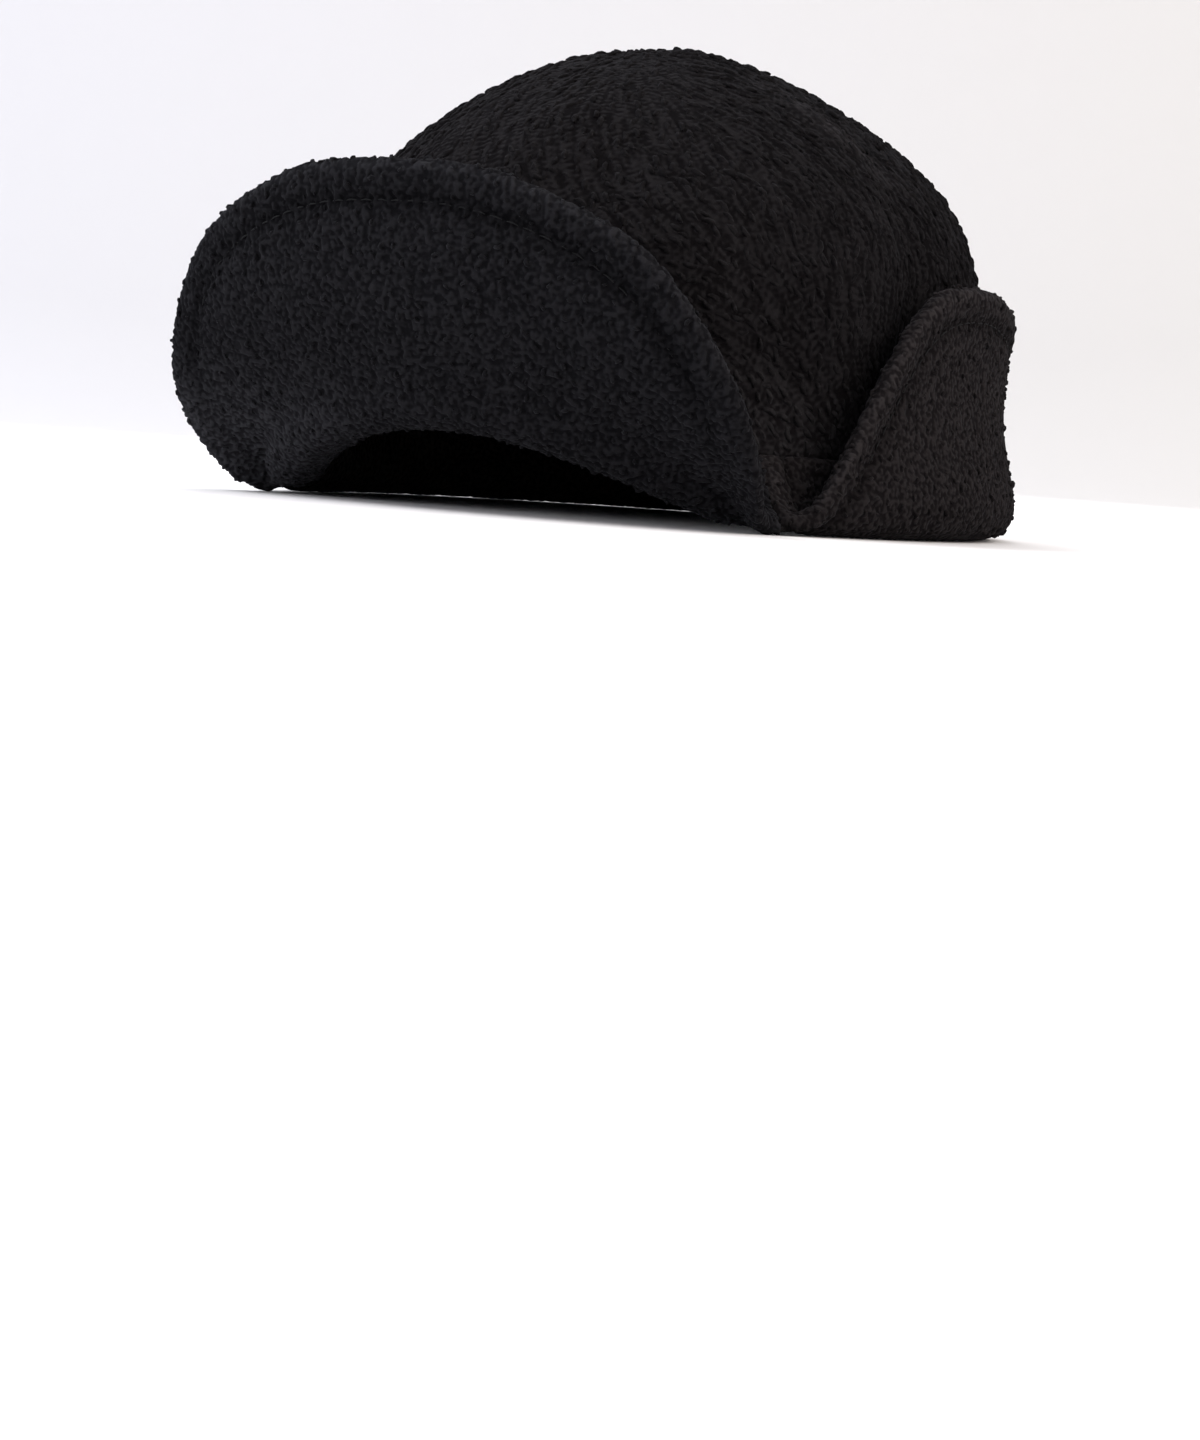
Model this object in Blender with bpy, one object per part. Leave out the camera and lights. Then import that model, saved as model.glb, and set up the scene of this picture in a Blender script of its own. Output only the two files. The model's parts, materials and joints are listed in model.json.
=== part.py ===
"""Earflap cap in black boa fleece, lying on a table on the fold of its turned-up brim and ear flap.

The cap faces -Y, the wearer's left is +X and up is +Z. Lengths are in millimetres until a mesh is
made, and the mesh is in metres. Every surface is worked out from two coordinates: phi, the angle
round the head from the front centre, and a section drawn in offset (outwards from the crown's
oval) and height.
"""

import math

import bpy
import numpy as np

MM = 0.001

# Crown: the oval of its outer face, its height and the shape of its dome
CROWN_HALF_WIDTH = 84.5
CROWN_HALF_LENGTH = 98.2
CROWN_HEIGHT = 128.2
DOME_FOOT = 64.0
DOME_POWER = 1.68
WALL_TAPER = 0.03
DOME_LEAN = 3.4
CROWN_CLOTH = 3.0
RIM_HEIGHT = 20.0
RIM_FADE = 12.0
GORE_COUNT = 4
SEAM_TURN = -5.0
GORE_PUFF = 1.2
TIP_RADIUS = 1.2
SEAM_DIP = 0.9
SEAM_DIP_WIDTH = 4.0
SEAM_GAP = 0.3
RIM_GAP = 0.5
SHARP_ANGLE = 50.0

# Fold under the crown's rim, from which the brim and the ear flap turn up
CUFF_CLOTH = 4.6
LEG_OFFSET = -1.6
FOLD_OFFSET = 13.7
FOLD_TOP = 9.5
FOLD_SINK = 0.6
SINK_SHARE = 0.7
LEAST_RISE = 0.5
WAIST_POWER = 1.1
ARCH_HEIGHT = 21.0
ARCH_POWER = 0.6

# Notch between brim and ear flap, on each side
NOTCH_ANGLE = 52.0
NOTCH_BRIM_WIDTH = 5.8
NOTCH_FLAP_WIDTH = 7.5
NOTCH_LIP_OFFSET = 14.8
NOTCH_LIP_HEIGHT = 2.4
NOTCH_SLOPE_SHARE = 0.93
NOTCH_SPREAD_POWER = 0.7
NOTCH_DROP_POWER = 1.3

# Brim, from the front centre (along 0) to a notch (along 1): the place of its free edge and how far
# the cloth bows outwards between the fold and the edge
BRIM_COLUMNS = ("along", "edge_offset", "edge_height", "bow")
BRIM_SECTIONS = (
    (0.00, 34.5, 80.3, 4.0),
    (0.20, 34.5, 79.5, 4.5),
    (0.40, 36.5, 73.2, 5.0),
    (0.60, 39.2, 61.8, 6.8),
    (0.80, 40.7, 33.0, 7.0),
    (0.87, 39.0, 20.5, 4.5),
    (0.94, 29.5, 9.5, 1.5),
    (1.00, 15.5, 3.0, 0.0),
)

# Ear flap, from a notch to the back centre: the place of its free edge and how far its middle is
# drawn in towards the crown
FLAP_COLUMNS = ("angle", "edge_offset", "edge_height", "waist")
FLAP_SECTIONS = (
    (52.0, 15.5, 3.0, 0.0),
    (56.0, 15.5, 7.5, 0.0),
    (62.0, 14.5, 20.5, 0.8),
    (69.0, 12.5, 39.5, 2.2),
    (76.0, 10.7, 55.5, 3.4),
    (84.0, 9.7, 63.0, 4.0),
    (96.0, 9.3, 64.0, 4.0),
    (110.0, 9.5, 60.5, 4.0),
    (126.0, 9.5, 53.5, 3.6),
    (148.0, 9.3, 47.5, 2.6),
    (180.0, 9.3, 45.0, 2.0),
)

# Soft dents (depth below 0) and ridges (above 0) of the crown. Each is a smooth hill at an angle
# and a height, half_length long along its own line and half_width across it, and the line leans
# from upright towards the back by lean degrees.
FOLD_COLUMNS = ("angle", "height", "half_length", "half_width", "lean", "depth")
CROWN_FOLDS = (
    (22.0, 84.0, 22.0, 12.0, 60.0, -4.0),
    (43.0, 52.0, 26.0, 6.0, -22.0, 2.6),
    (52.0, 53.0, 24.0, 5.0, -24.0, -3.0),
    (68.0, 56.0, 34.0, 7.0, 0.0, 2.4),
    (83.0, 50.0, 30.0, 7.0, 0.0, -2.6),
    (86.0, 103.5, 9.0, 4.5, 109.0, -2.8),
    (76.0, 105.0, 16.0, 5.0, 120.0, 2.0),
    (-30.0, 78.0, 20.0, 10.0, -60.0, -2.4),
    (-56.0, 100.0, 14.0, 25.0, 0.0, -1.4),
    (-60.0, 55.0, 28.0, 7.0, 0.0, 2.0),
    (-78.0, 52.0, 28.0, 7.0, 0.0, -2.2),
    (115.0, 117.0, 9.0, 50.0, 0.0, -1.2),
    (124.0, 88.0, 14.0, 30.0, 0.0, 1.6),
    (154.0, 84.0, 18.0, 9.0, 40.0, -1.8),
    (-140.0, 82.0, 18.0, 9.0, -40.0, -1.8),
)

# Mesh sizes
GORE_COLUMNS = 14
WALL_ROWS = 5
DOME_ROWS = 12
BRIM_STEPS = 48
FLAP_STEPS = 66
FLAP_STEP_POWER = 1.25
LEG_POINTS = 2
TURN_POINTS = 6
CUFF_POINTS = 7
EDGE_POINTS = 3

# Materials: colour (linear), roughness
FLEECE_CROWN = ((0.0105, 0.0095, 0.0105), 0.95)
FLEECE_CUFF = ((0.0095, 0.0092, 0.0112), 0.95)


def clear_scene():
    """Removes every object of the open scene."""
    for thing in list(bpy.data.objects):
        bpy.data.objects.remove(thing, do_unlink=True)


def fleece(name, finish):
    """Returns a matt cloth material with a colour and a roughness."""
    colour, roughness = finish
    material = bpy.data.materials.new(name)
    material.use_nodes = True
    shader = material.node_tree.nodes["Principled BSDF"]
    shader.inputs["Base Color"].default_value = (*colour, 1.0)
    shader.inputs["Roughness"].default_value = roughness
    shader.inputs["Metallic"].default_value = 0.0
    return material


def column(table, names, name):
    """Returns one named column of a table as an array."""
    return np.array([row[names.index(name)] for row in table])


def smooth_through(at, xs, ys):
    """Reads a smooth curve through the points (xs, ys), level at both ends where it should be.

    It is a cubic Hermite curve whose slopes are the harmonic means of the neighbouring slopes, so
    it never overshoots its points.
    """
    steps = np.diff(xs)
    rises = np.diff(ys) / steps
    slopes = np.zeros(len(xs))
    same = rises[:-1] * rises[1:] > 0
    slopes[1:-1][same] = 2.0 / (1.0 / rises[:-1][same] + 1.0 / rises[1:][same])
    place = np.clip(np.searchsorted(xs, at, side="right") - 1, 0, len(xs) - 2)
    t = (at - xs[place]) / steps[place]
    rise = ys[place + 1] - ys[place]
    start = slopes[place] * steps[place]
    end = slopes[place + 1] * steps[place]
    square = 3 * rise - 2 * start - end
    cube = start + end - 2 * rise
    return ys[place] + t * start + t**2 * square + t**3 * cube


def arch(phi):
    """Height of the fold's underside: on the table at the sides and back, raised at the front."""
    from_front = np.abs((phi + math.pi) % (2 * math.pi) - math.pi)
    along = np.minimum(from_front / math.radians(NOTCH_ANGLE), 1.0)
    return ARCH_HEIGHT * np.maximum(0.5 + 0.5 * np.cos(math.pi * along), 0.0) ** ARCH_POWER


def rim_height(phi):
    """Height of the crown's rim, where the brim or the ear flap is sewn to it."""
    return RIM_HEIGHT + arch(phi)


def seam_share(phi):
    """0 on a seam of the crown, and 1 half way between two of them."""
    quarter = 2 * math.pi / GORE_COUNT
    return np.abs(np.sin(math.pi * (phi - math.radians(SEAM_TURN)) / quarter))


def crown_relief(phi, height, size):
    """How far the crown's cloth stands out: soft folds, full panels and the grooves of its seams."""
    out = np.zeros_like(phi)
    for angle, level, half_length, half_width, lean, depth in CROWN_FOLDS:
        across = (phi - math.radians(angle) + math.pi) % (2 * math.pi) - math.pi
        across = across * CROWN_HALF_WIDTH
        up = height - level
        turn = math.radians(lean)
        along = up * math.cos(turn) + across * math.sin(turn)
        beside = across * math.cos(turn) - up * math.sin(turn)
        out += depth * np.exp(-((along / half_length) ** 2) - (beside / half_width) ** 2)
    beside_seam = CROWN_HALF_WIDTH * size * seam_share(phi) / 2
    groove = SEAM_DIP * np.exp(-((beside_seam / SEAM_DIP_WIDTH) ** 2))
    return out + GORE_PUFF * seam_share(phi) * size - groove


def crown_point(phi, reach):
    """Point of the crown's smooth outer face.

    phi is the angle round the head. reach is the way up along the cloth from the rim: up to 1 it
    climbs the wall, and past 1 the dome, whose top is at 1 + a quarter turn.
    """
    wall = np.minimum(reach, 1.0)
    turn = np.maximum(reach - 1.0, 0.0)
    rim = rim_height(phi)
    foot_height = rim + (DOME_FOOT - rim) * wall
    rise = CROWN_HEIGHT - DOME_FOOT
    height = foot_height + rise * np.abs(np.sin(turn)) ** (2.0 / DOME_POWER)
    size = np.abs(np.cos(turn)) ** (2.0 / DOME_POWER)
    size = size * (1.0 - WALL_TAPER * (1.0 - wall) ** 2)
    x = CROWN_HALF_WIDTH * size * np.sin(phi)
    lean = DOME_LEAN * np.maximum(height - DOME_FOOT, 0.0) / rise
    y = lean - CROWN_HALF_LENGTH * size * np.cos(phi)
    return np.stack([x, y, height], axis=-1)


def crown_normal(phi, reach):
    """Outward unit normal of the smooth crown, by small steps round and up."""
    step = 1e-3
    around = crown_point(phi + step, reach) - crown_point(phi - step, reach)
    up = crown_point(phi, reach + step) - crown_point(phi, np.maximum(reach - step, 0.0))
    normal = np.cross(around, up)
    return normal / np.linalg.norm(normal, axis=-1, keepdims=True)


def crown_faces(phi, reach):
    """Outer and inner face of a crown panel, as two grids of points."""
    smooth = crown_point(phi, reach)
    normal = crown_normal(phi, reach)
    size = np.hypot(smooth[..., 0] / CROWN_HALF_WIDTH, smooth[..., 1] / CROWN_HALF_LENGTH)
    relief = crown_relief(phi, smooth[..., 2], size)
    fade = np.clip((smooth[..., 2] - rim_height(phi)) / RIM_FADE, 0.0, 1.0)
    outer = smooth + normal * (relief * fade)[..., None]
    inner = outer - normal * CROWN_CLOTH
    outer[..., 2] = np.where(reach == 0.0, rim_height(phi), outer[..., 2])
    inner[..., 2] = np.where(reach == 0.0, rim_height(phi), inner[..., 2])
    return outer, inner


def dome_turn(radius):
    """The turn up the dome at which the crown is only radius wide from its middle."""
    return math.acos((radius / CROWN_HALF_WIDTH) ** (DOME_POWER / 2.0))


def gore_grid(start):
    """(phi, reach) of one quarter panel that begins at the seam at start, in rows from the rim up.

    The columns lie closer together near the seams, and the gap between two panels stays as wide up
    to the top.
    """
    quarter = 2 * math.pi / GORE_COUNT
    even = np.linspace(0.0, 1.0, GORE_COLUMNS + 1)
    share = 0.5 * even + 0.5 * (0.5 - 0.5 * np.cos(math.pi * even))
    wall = np.linspace(0.0, 1.0, WALL_ROWS, endpoint=False)
    dome = 1.0 + np.linspace(0.0, dome_turn(TIP_RADIUS), DOME_ROWS + 1)
    phis = []
    reaches = []
    for reach in np.concatenate([wall, dome]):
        size = math.cos(max(reach - 1.0, 0.0)) ** (2.0 / DOME_POWER)
        gap = SEAM_GAP / 2 / (CROWN_HALF_WIDTH * size)
        phis.append(start + gap + (quarter - 2 * gap) * share)
        reaches.append(np.full_like(share, reach))
    return np.array(phis), np.array(reaches)


def gore_tip(start):
    """(phi, reach) of the point of a quarter panel, close to the crown's top."""
    phi = start + math.pi / GORE_COUNT
    return np.array([[phi]]), np.array([[1.0 + dome_turn(SEAM_GAP)]])


def add_solid(name, points, faces, material):
    """Makes a smooth-shaded mesh object, in metres, from points in millimetres."""
    mesh = bpy.data.meshes.new(name)
    mesh.from_pydata([tuple(point) for point in np.asarray(points) * MM], [], faces)
    mesh.materials.append(material)
    mesh.validate()
    mesh.shade_smooth()
    mesh.set_sharp_from_angle(angle=math.radians(SHARP_ANGLE))
    thing = bpy.data.objects.new(name, mesh)
    bpy.context.scene.collection.objects.link(thing)
    return thing


def pointed_panel(outer, inner, outer_tip, inner_tip):
    """Points and faces of a closed cloth panel between two grids that run to a point at the top."""
    rows, columns = outer.shape[:2]
    count = rows * columns
    points = np.concatenate([outer.reshape(-1, 3), inner.reshape(-1, 3), [outer_tip, inner_tip]])
    last = columns - 1
    top = (rows - 1) * columns
    faces = []
    for i in range(rows - 1):
        for j in range(last):
            a = i * columns + j
            b = a + columns
            faces.append((a, a + 1, b + 1, b))
            faces.append((count + a, count + b, count + b + 1, count + a + 1))
        a = i * columns
        b = a + columns
        faces.append((a, b, count + b, count + a))
        faces.append((a + last, count + a + last, count + b + last, b + last))
    for j in range(last):
        faces.append((j, count + j, count + j + 1, j + 1))
        faces.append((top + j, top + j + 1, 2 * count))
        faces.append((count + top + j, 2 * count + 1, count + top + j + 1))
    faces.append((top, 2 * count, 2 * count + 1, count + top))
    faces.append((top + last, count + top + last, 2 * count + 1, 2 * count))
    return points, faces


def turned_section(base, edge_offset, edge_height, bow):
    """Middle line of the cuff's cloth in offset and height: down, round the fold and up again.

    base is the height of the fold's underside. A bow above 0 swells the upright part outwards and
    one below 0 draws its middle in.
    """
    half = (FOLD_OFFSET - LEG_OFFSET) / 2
    middle = (FOLD_OFFSET + LEG_OFFSET) / 2
    top = base + FOLD_TOP
    depth = FOLD_TOP - CUFF_CLOTH / 2 + FOLD_SINK
    down = np.linspace(0.0, 1.0, LEG_POINTS, endpoint=False)
    leg_height = base + RIM_HEIGHT - RIM_GAP + (FOLD_TOP - RIM_HEIGHT) * down
    leg = np.stack([np.full_like(down, LEG_OFFSET), leg_height], -1)
    turn = np.linspace(0.0, math.pi, TURN_POINTS)
    fold = np.stack([middle - half * np.cos(turn), top - depth * np.sin(turn)], -1)
    up = np.linspace(0.0, 1.0, CUFF_POINTS + 1)[1:]
    swell = bow * np.sin(math.pi * up)
    rise = max(edge_height - top, LEAST_RISE)
    lift = up if bow >= 0 else up**WAIST_POWER
    cuff_offset = FOLD_OFFSET + (edge_offset - FOLD_OFFSET) * lift + swell
    cuff = np.stack([cuff_offset, top + rise * up], -1)
    return np.concatenate([leg, fold, cuff])


def notch_section(base):
    """Middle line at a notch, where the cloth only slopes out from the rim to a low lip."""
    count = LEG_POINTS + TURN_POINTS
    slope = NOTCH_SLOPE_SHARE * (np.arange(count) / (count - 1)) ** NOTCH_SPREAD_POWER
    lip = np.linspace(NOTCH_SLOPE_SHARE, 1.0, CUFF_POINTS + 1)[1:]
    along = np.concatenate([slope, lip])
    offset = LEG_OFFSET + (NOTCH_LIP_OFFSET - LEG_OFFSET) * along
    drop = RIM_HEIGHT - RIM_GAP - NOTCH_LIP_HEIGHT
    height = base + NOTCH_LIP_HEIGHT + drop * (1.0 - along) ** NOTCH_DROP_POWER
    return np.stack([offset, height], -1)


def settled(heights, base):
    """Lowers the bottom of a section until it reaches the fold's underside, and leaves its top."""
    sink = heights.min() - (base - FOLD_SINK)
    share = np.clip(1.0 - (heights - heights.min()) / (SINK_SHARE * RIM_HEIGHT), 0.0, 1.0)
    return heights - sink * share


def cuff_ring(phi, edge_offset, edge_height, bow):
    """Closed outline of the cuff's cloth at one angle, as points round the section."""
    base = float(arch(np.array(phi)))
    past = math.degrees(abs(phi)) - NOTCH_ANGLE
    away = past / (NOTCH_FLAP_WIDTH if past > 0 else NOTCH_BRIM_WIDTH)
    low = math.exp(-(away**2))
    upright = turned_section(base, edge_offset, edge_height, bow)
    line = (1.0 - low) * upright + low * notch_section(base)
    along = np.gradient(line, axis=0)
    along[0] = (0.0, -1.0)
    along /= np.linalg.norm(along, axis=1, keepdims=True)
    under = np.stack([along[:, 1], -along[:, 0]], -1)
    half = CUFF_CLOTH / 2
    outside = line - under * half
    inside = line + under * half
    tip = []
    for part in range(1, EDGE_POINTS + 1):
        angle = math.pi * part / (EDGE_POINTS + 1)
        tip.append(line[-1] + half * (along[-1] * math.sin(angle) - under[-1] * math.cos(angle)))
    ring = np.concatenate([outside, tip, inside[::-1]])
    height = np.maximum(settled(ring[:, 1], base), 0.0)
    x = (CROWN_HALF_WIDTH + ring[:, 0]) * math.sin(phi)
    y = -(CROWN_HALF_LENGTH + ring[:, 0]) * math.cos(phi)
    return np.stack([x, y, height], -1)


def lofted(rings):
    """Points and faces of a closed body through rings with as many points each."""
    count = len(rings[0])
    half = count // 2
    points = np.concatenate(rings)
    faces = []
    for i in range(len(rings) - 1):
        for j in range(count):
            k = (j + 1) % count
            near = i * count
            far = near + count
            faces.append((near + j, near + k, far + k, far + j))
    last = (len(rings) - 1) * count
    for j in range(half - 1):
        k = count - 1 - j
        faces.append((k, k - 1, j + 1, j))
        faces.append((last + j, last + j + 1, last + k - 1, last + k))
    faces.append((half + 1, half, half - 1))
    faces.append((last + half - 1, last + half, last + half + 1))
    return points, faces


def notch_gap_angle():
    """Half the angle of the gap between brim and ear flap at a notch."""
    return SEAM_GAP / 2 / CROWN_HALF_WIDTH


def build_crown(material):
    """Makes the four quarter panels of the crown, whose seams run front to back and side to side."""
    names = ("crown_front_left", "crown_back_left", "crown_back_right", "crown_front_right")
    for place, name in enumerate(names):
        start = math.radians(SEAM_TURN) + place * 2 * math.pi / GORE_COUNT
        outer, inner = crown_faces(*gore_grid(start))
        outer_tip, inner_tip = crown_faces(*gore_tip(start))
        add_solid(name, *pointed_panel(outer, inner, outer_tip[0, 0], inner_tip[0, 0]), material)


def build_brim(material):
    """Makes the front brim from one notch to the other."""
    along = column(BRIM_SECTIONS, BRIM_COLUMNS, "along")
    limit = math.radians(NOTCH_ANGLE) - notch_gap_angle()
    sizes = [column(BRIM_SECTIONS, BRIM_COLUMNS, name) for name in BRIM_COLUMNS[1:]]
    rings = []
    for share in np.sin(0.5 * math.pi * np.linspace(-1.0, 1.0, BRIM_STEPS + 1)):
        here = [float(smooth_through(np.abs(share), along, size)) for size in sizes]
        rings.append(cuff_ring(share * limit, *here))
    add_solid("brim", *lofted(rings), material)


def build_ear_flap(material):
    """Makes the ear flap band from the left notch round the back to the right notch."""
    angles = column(FLAP_SECTIONS, FLAP_COLUMNS, "angle")
    start = NOTCH_ANGLE + math.degrees(notch_gap_angle())
    sizes = [column(FLAP_SECTIONS, FLAP_COLUMNS, name) for name in FLAP_COLUMNS[1:]]
    share = np.linspace(-1.0, 1.0, FLAP_STEPS + 1)
    from_back = np.sign(share) * (1.0 - (1.0 - np.abs(share)) ** FLAP_STEP_POWER)
    rings = []
    for part in from_back:
        from_front = 180.0 - (180.0 - start) * abs(part)
        side = 1.0 if part < 0 else -1.0
        edge_offset, edge_height, waist = (
            float(smooth_through(np.array(from_front), angles, size)) for size in sizes
        )
        phi = math.radians(from_front) * side
        rings.append(cuff_ring(phi, edge_offset, edge_height, -waist))
    add_solid("ear_flap", *lofted(rings), material)


def centre_on_table():
    """Moves all pieces so that the middle of their box's underside is the origin."""
    things = list(bpy.context.scene.collection.objects)
    corners = np.concatenate([[tuple(v.co) for v in thing.data.vertices] for thing in things])
    low = corners.min(axis=0)
    high = corners.max(axis=0)
    shift = (-(low[0] + high[0]) / 2, -(low[1] + high[1]) / 2, -low[2])
    for thing in things:
        thing.location = shift


def main():
    clear_scene()
    crown = fleece("fleece_crown", FLEECE_CROWN)
    cuff = fleece("fleece_cuff", FLEECE_CUFF)
    build_crown(crown)
    build_brim(cuff)
    build_ear_flap(cuff)
    centre_on_table()


main()
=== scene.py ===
"""Looks of the earflap cap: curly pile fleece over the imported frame, on a pale studio floor.

Each of the three cloth pieces, crown, brim and ear flap, starts as a copy of its nodes of the frame,
refined into one smooth dense mesh. It is given its soft folds or its topstitched valley, roughened
into nubs, and covered with thousands of small curled locks, made by Geometry Nodes. Lengths are in
metres, in the frame's own axes: the cap faces -Y and the wearer's left is +X.
"""

from __future__ import annotations

import json
import logging
import math
from dataclasses import dataclass, field, replace
from enum import Enum
from typing import Any

import bmesh
import bpy
import numpy as np
from mathutils import Matrix, Vector, kdtree

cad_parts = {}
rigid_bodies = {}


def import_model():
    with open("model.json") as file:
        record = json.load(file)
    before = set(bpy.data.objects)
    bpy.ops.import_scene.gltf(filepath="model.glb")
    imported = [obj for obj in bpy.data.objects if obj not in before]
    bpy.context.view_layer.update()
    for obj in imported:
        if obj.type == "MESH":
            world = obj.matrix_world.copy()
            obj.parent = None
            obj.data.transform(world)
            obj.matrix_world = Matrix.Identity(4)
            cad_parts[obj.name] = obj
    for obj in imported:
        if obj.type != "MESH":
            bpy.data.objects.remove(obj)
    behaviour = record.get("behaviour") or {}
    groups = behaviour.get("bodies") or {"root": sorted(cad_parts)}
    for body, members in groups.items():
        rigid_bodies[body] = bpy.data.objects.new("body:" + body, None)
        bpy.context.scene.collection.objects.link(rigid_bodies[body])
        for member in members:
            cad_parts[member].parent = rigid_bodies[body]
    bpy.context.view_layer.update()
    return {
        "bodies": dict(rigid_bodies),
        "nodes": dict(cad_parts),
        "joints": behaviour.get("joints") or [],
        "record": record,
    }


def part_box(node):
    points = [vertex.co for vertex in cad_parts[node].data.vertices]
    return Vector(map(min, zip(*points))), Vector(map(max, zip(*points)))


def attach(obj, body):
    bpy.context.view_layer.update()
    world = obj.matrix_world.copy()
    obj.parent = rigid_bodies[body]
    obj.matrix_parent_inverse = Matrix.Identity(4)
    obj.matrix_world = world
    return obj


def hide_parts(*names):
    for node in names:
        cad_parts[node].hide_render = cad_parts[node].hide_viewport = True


LOG = logging.getLogger("earflap_cap")
MM = 0.001

# The photograph's size in pixels, in which the camera's pixels count
PHOTO_WIDTH = 1200
PHOTO_HEIGHT = 1440
CROWN_PANELS = ("crown_front_left", "crown_front_right", "crown_back_left", "crown_back_right")

# Curls: how sharply their noise is cut into curls and pits, and how much of the cloth is curls
CURL_CONTRAST = 2.6
COMBED_CONTRAST = 4.0
CURL_LEVEL = 0.47


class Side(Enum):
    """Which face of a cuff's cloth something is on."""

    OUTSIDE = "outside"
    INSIDE = "inside"


class Value:
    """A socket of a node tree that takes part in Python arithmetic."""

    def __init__(self, graph: Graph, socket: bpy.types.NodeSocket) -> None:
        """Wraps one output socket.

        Args:
            graph: the tree that the socket is in.
            socket: the output.
        """
        self.graph = graph
        self.socket = socket

    def _math(self, operation: str, *values: Any) -> Value:
        """Returns a Math node's result for these values."""
        return self.graph.math(operation, *values)

    def __add__(self, other: Any) -> Value:
        """Adds."""
        return self._math("ADD", self, other)

    def __radd__(self, other: Any) -> Value:
        """Adds, from the right."""
        return self._math("ADD", other, self)

    def __sub__(self, other: Any) -> Value:
        """Subtracts."""
        return self._math("SUBTRACT", self, other)

    def __rsub__(self, other: Any) -> Value:
        """Subtracts, from the right."""
        return self._math("SUBTRACT", other, self)

    def __mul__(self, other: Any) -> Value:
        """Multiplies."""
        return self._math("MULTIPLY", self, other)

    def __rmul__(self, other: Any) -> Value:
        """Multiplies, from the right."""
        return self._math("MULTIPLY", other, self)

    def __truediv__(self, other: Any) -> Value:
        """Divides."""
        return self._math("DIVIDE", self, other)

    def __rtruediv__(self, other: Any) -> Value:
        """Divides, from the right."""
        return self._math("DIVIDE", other, self)

    def __pow__(self, other: Any) -> Value:
        """Raises to a power."""
        return self._math("POWER", self, other)

    def sin(self) -> Value:
        """Returns the sine."""
        return self._math("SINE", self)

    def cos(self) -> Value:
        """Returns the cosine."""
        return self._math("COSINE", self)

    def at_least(self, limit: Any) -> Value:
        """Returns the larger of this value and a limit."""
        return self._math("MAXIMUM", self, limit)

    def at_most(self, limit: Any) -> Value:
        """Returns the smaller of this value and a limit."""
        return self._math("MINIMUM", self, limit)

    def clamped(self) -> Value:
        """Returns the value held between 0 and 1."""
        return self.at_least(0.0).at_most(1.0)


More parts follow.
